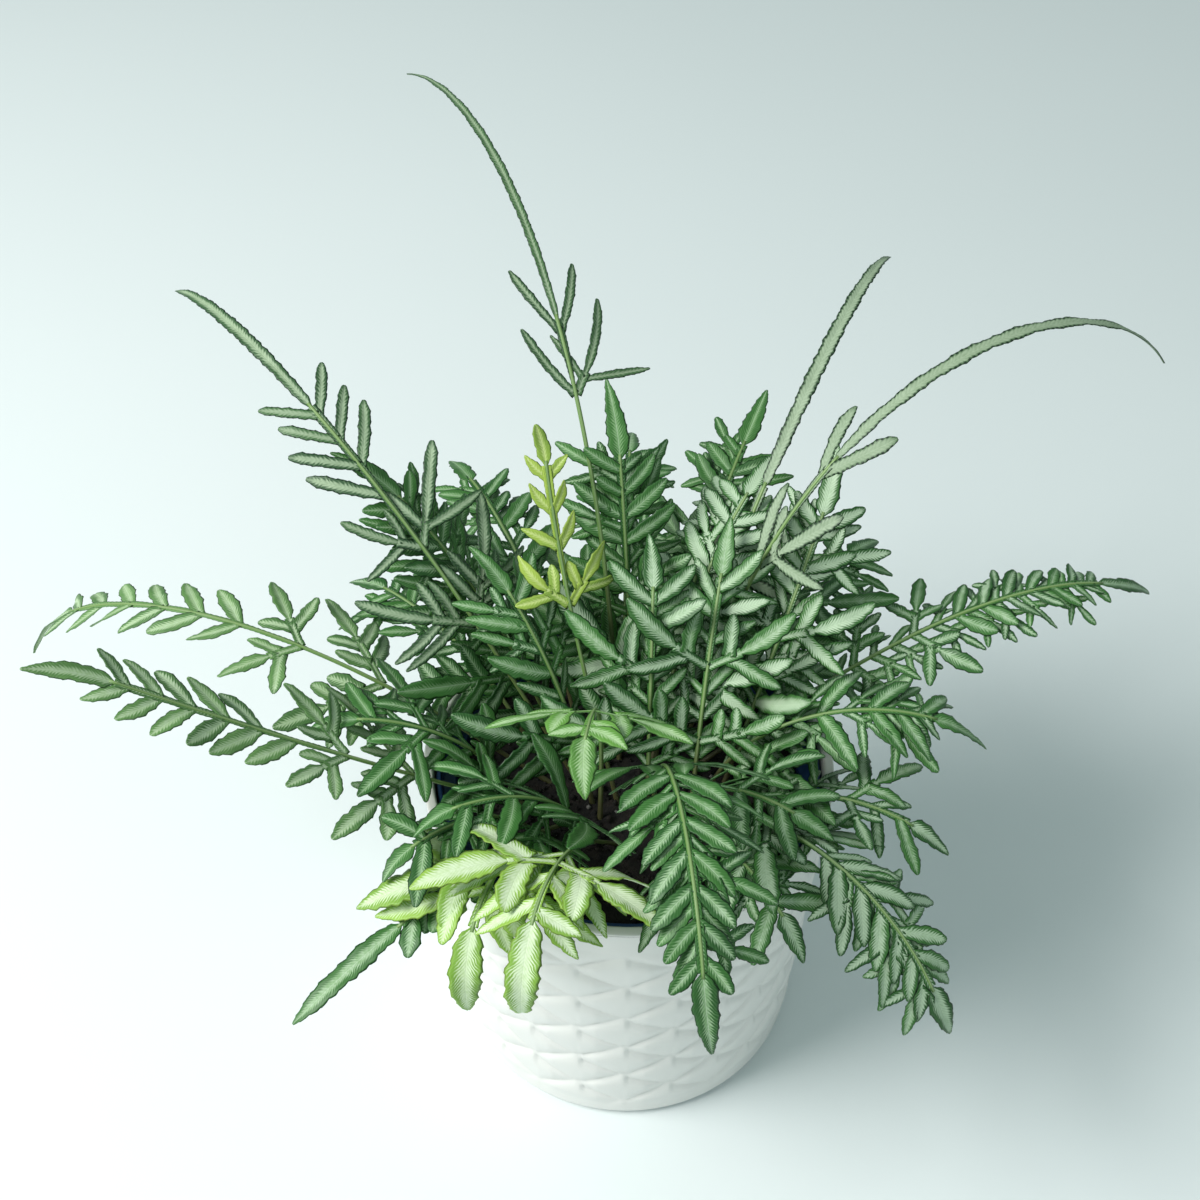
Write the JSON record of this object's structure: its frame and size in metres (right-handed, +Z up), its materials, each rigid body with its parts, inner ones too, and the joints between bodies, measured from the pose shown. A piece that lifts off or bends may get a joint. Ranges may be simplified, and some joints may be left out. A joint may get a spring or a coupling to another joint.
{
  "type": "potted silver lace fern",
  "caption": "Fern with silver-striped lacy fronds in a plastic nursery pot, standing in a white woven-relief ceramic cover pot.",
  "frame": {"origin": "middle of the flat underside of the cover pot", "axes": "+Z up along the pot's axis; +Y away from the side the picture is taken from; +X to the right in the picture"},
  "size_m": [0.4047, 0.3567, 0.275],
  "materials": {
    "cover_pot": "satin white glaze",
    "nursery_pot": "blue, a little shiny",
    "soil": "loose and dark",
    "fern_leafy": "soft leaf, dark green with a silver middle",
    "fern_narrow": "soft leaf, dark green edge and pale middle",
    "fern_lime": "young leaf, lime green",
    "fern_young": "young leaf, bright green",
    "fern_unrolling": "youngest leaf, yellow green"
  },
  "bodies": {
    "root": {"cover_pot": "cover_pot", "nursery_pot": "nursery_pot", "soil": "soil", "frond_front_hanging": "fern_leafy", "frond_right_hanging": "fern_leafy", "frond_lime_tip": "fern_leafy", "frond_lime_left": "fern_lime", "frond_lime_right": "fern_lime", "frond_tall_back": "fern_narrow", "frond_upper_left": "fern_narrow", "frond_left_low": "fern_leafy", "frond_left_high": "fern_leafy", "frond_bright_front": "fern_young", "frond_unrolling": "fern_unrolling", "frond_right_broad": "fern_leafy", "frond_right_thin": "fern_leafy", "frond_whip_inner": "fern_narrow", "frond_whip_outer": "fern_narrow", "frond_silver_right": "fern_leafy", "frond_silver_middle": "fern_leafy", "frond_tall_middle": "fern_leafy", "frond_left_inner": "fern_leafy", "frond_middle_left": "fern_leafy", "frond_middle_right": "fern_leafy", "frond_middle": "fern_leafy", "frond_left_middle": "fern_leafy", "frond_left_front": "fern_leafy", "frond_front_left_low": "fern_leafy", "frond_front_right_low": "fern_leafy", "frond_right_front": "fern_leafy", "frond_right_low": "fern_leafy", "frond_back_dark": "fern_leafy", "frond_back_right": "fern_leafy", "frond_back_middle": "fern_leafy", "frond_back_left": "fern_leafy", "frond_back_far_left": "fern_leafy"}
  },
  "joints": []
}
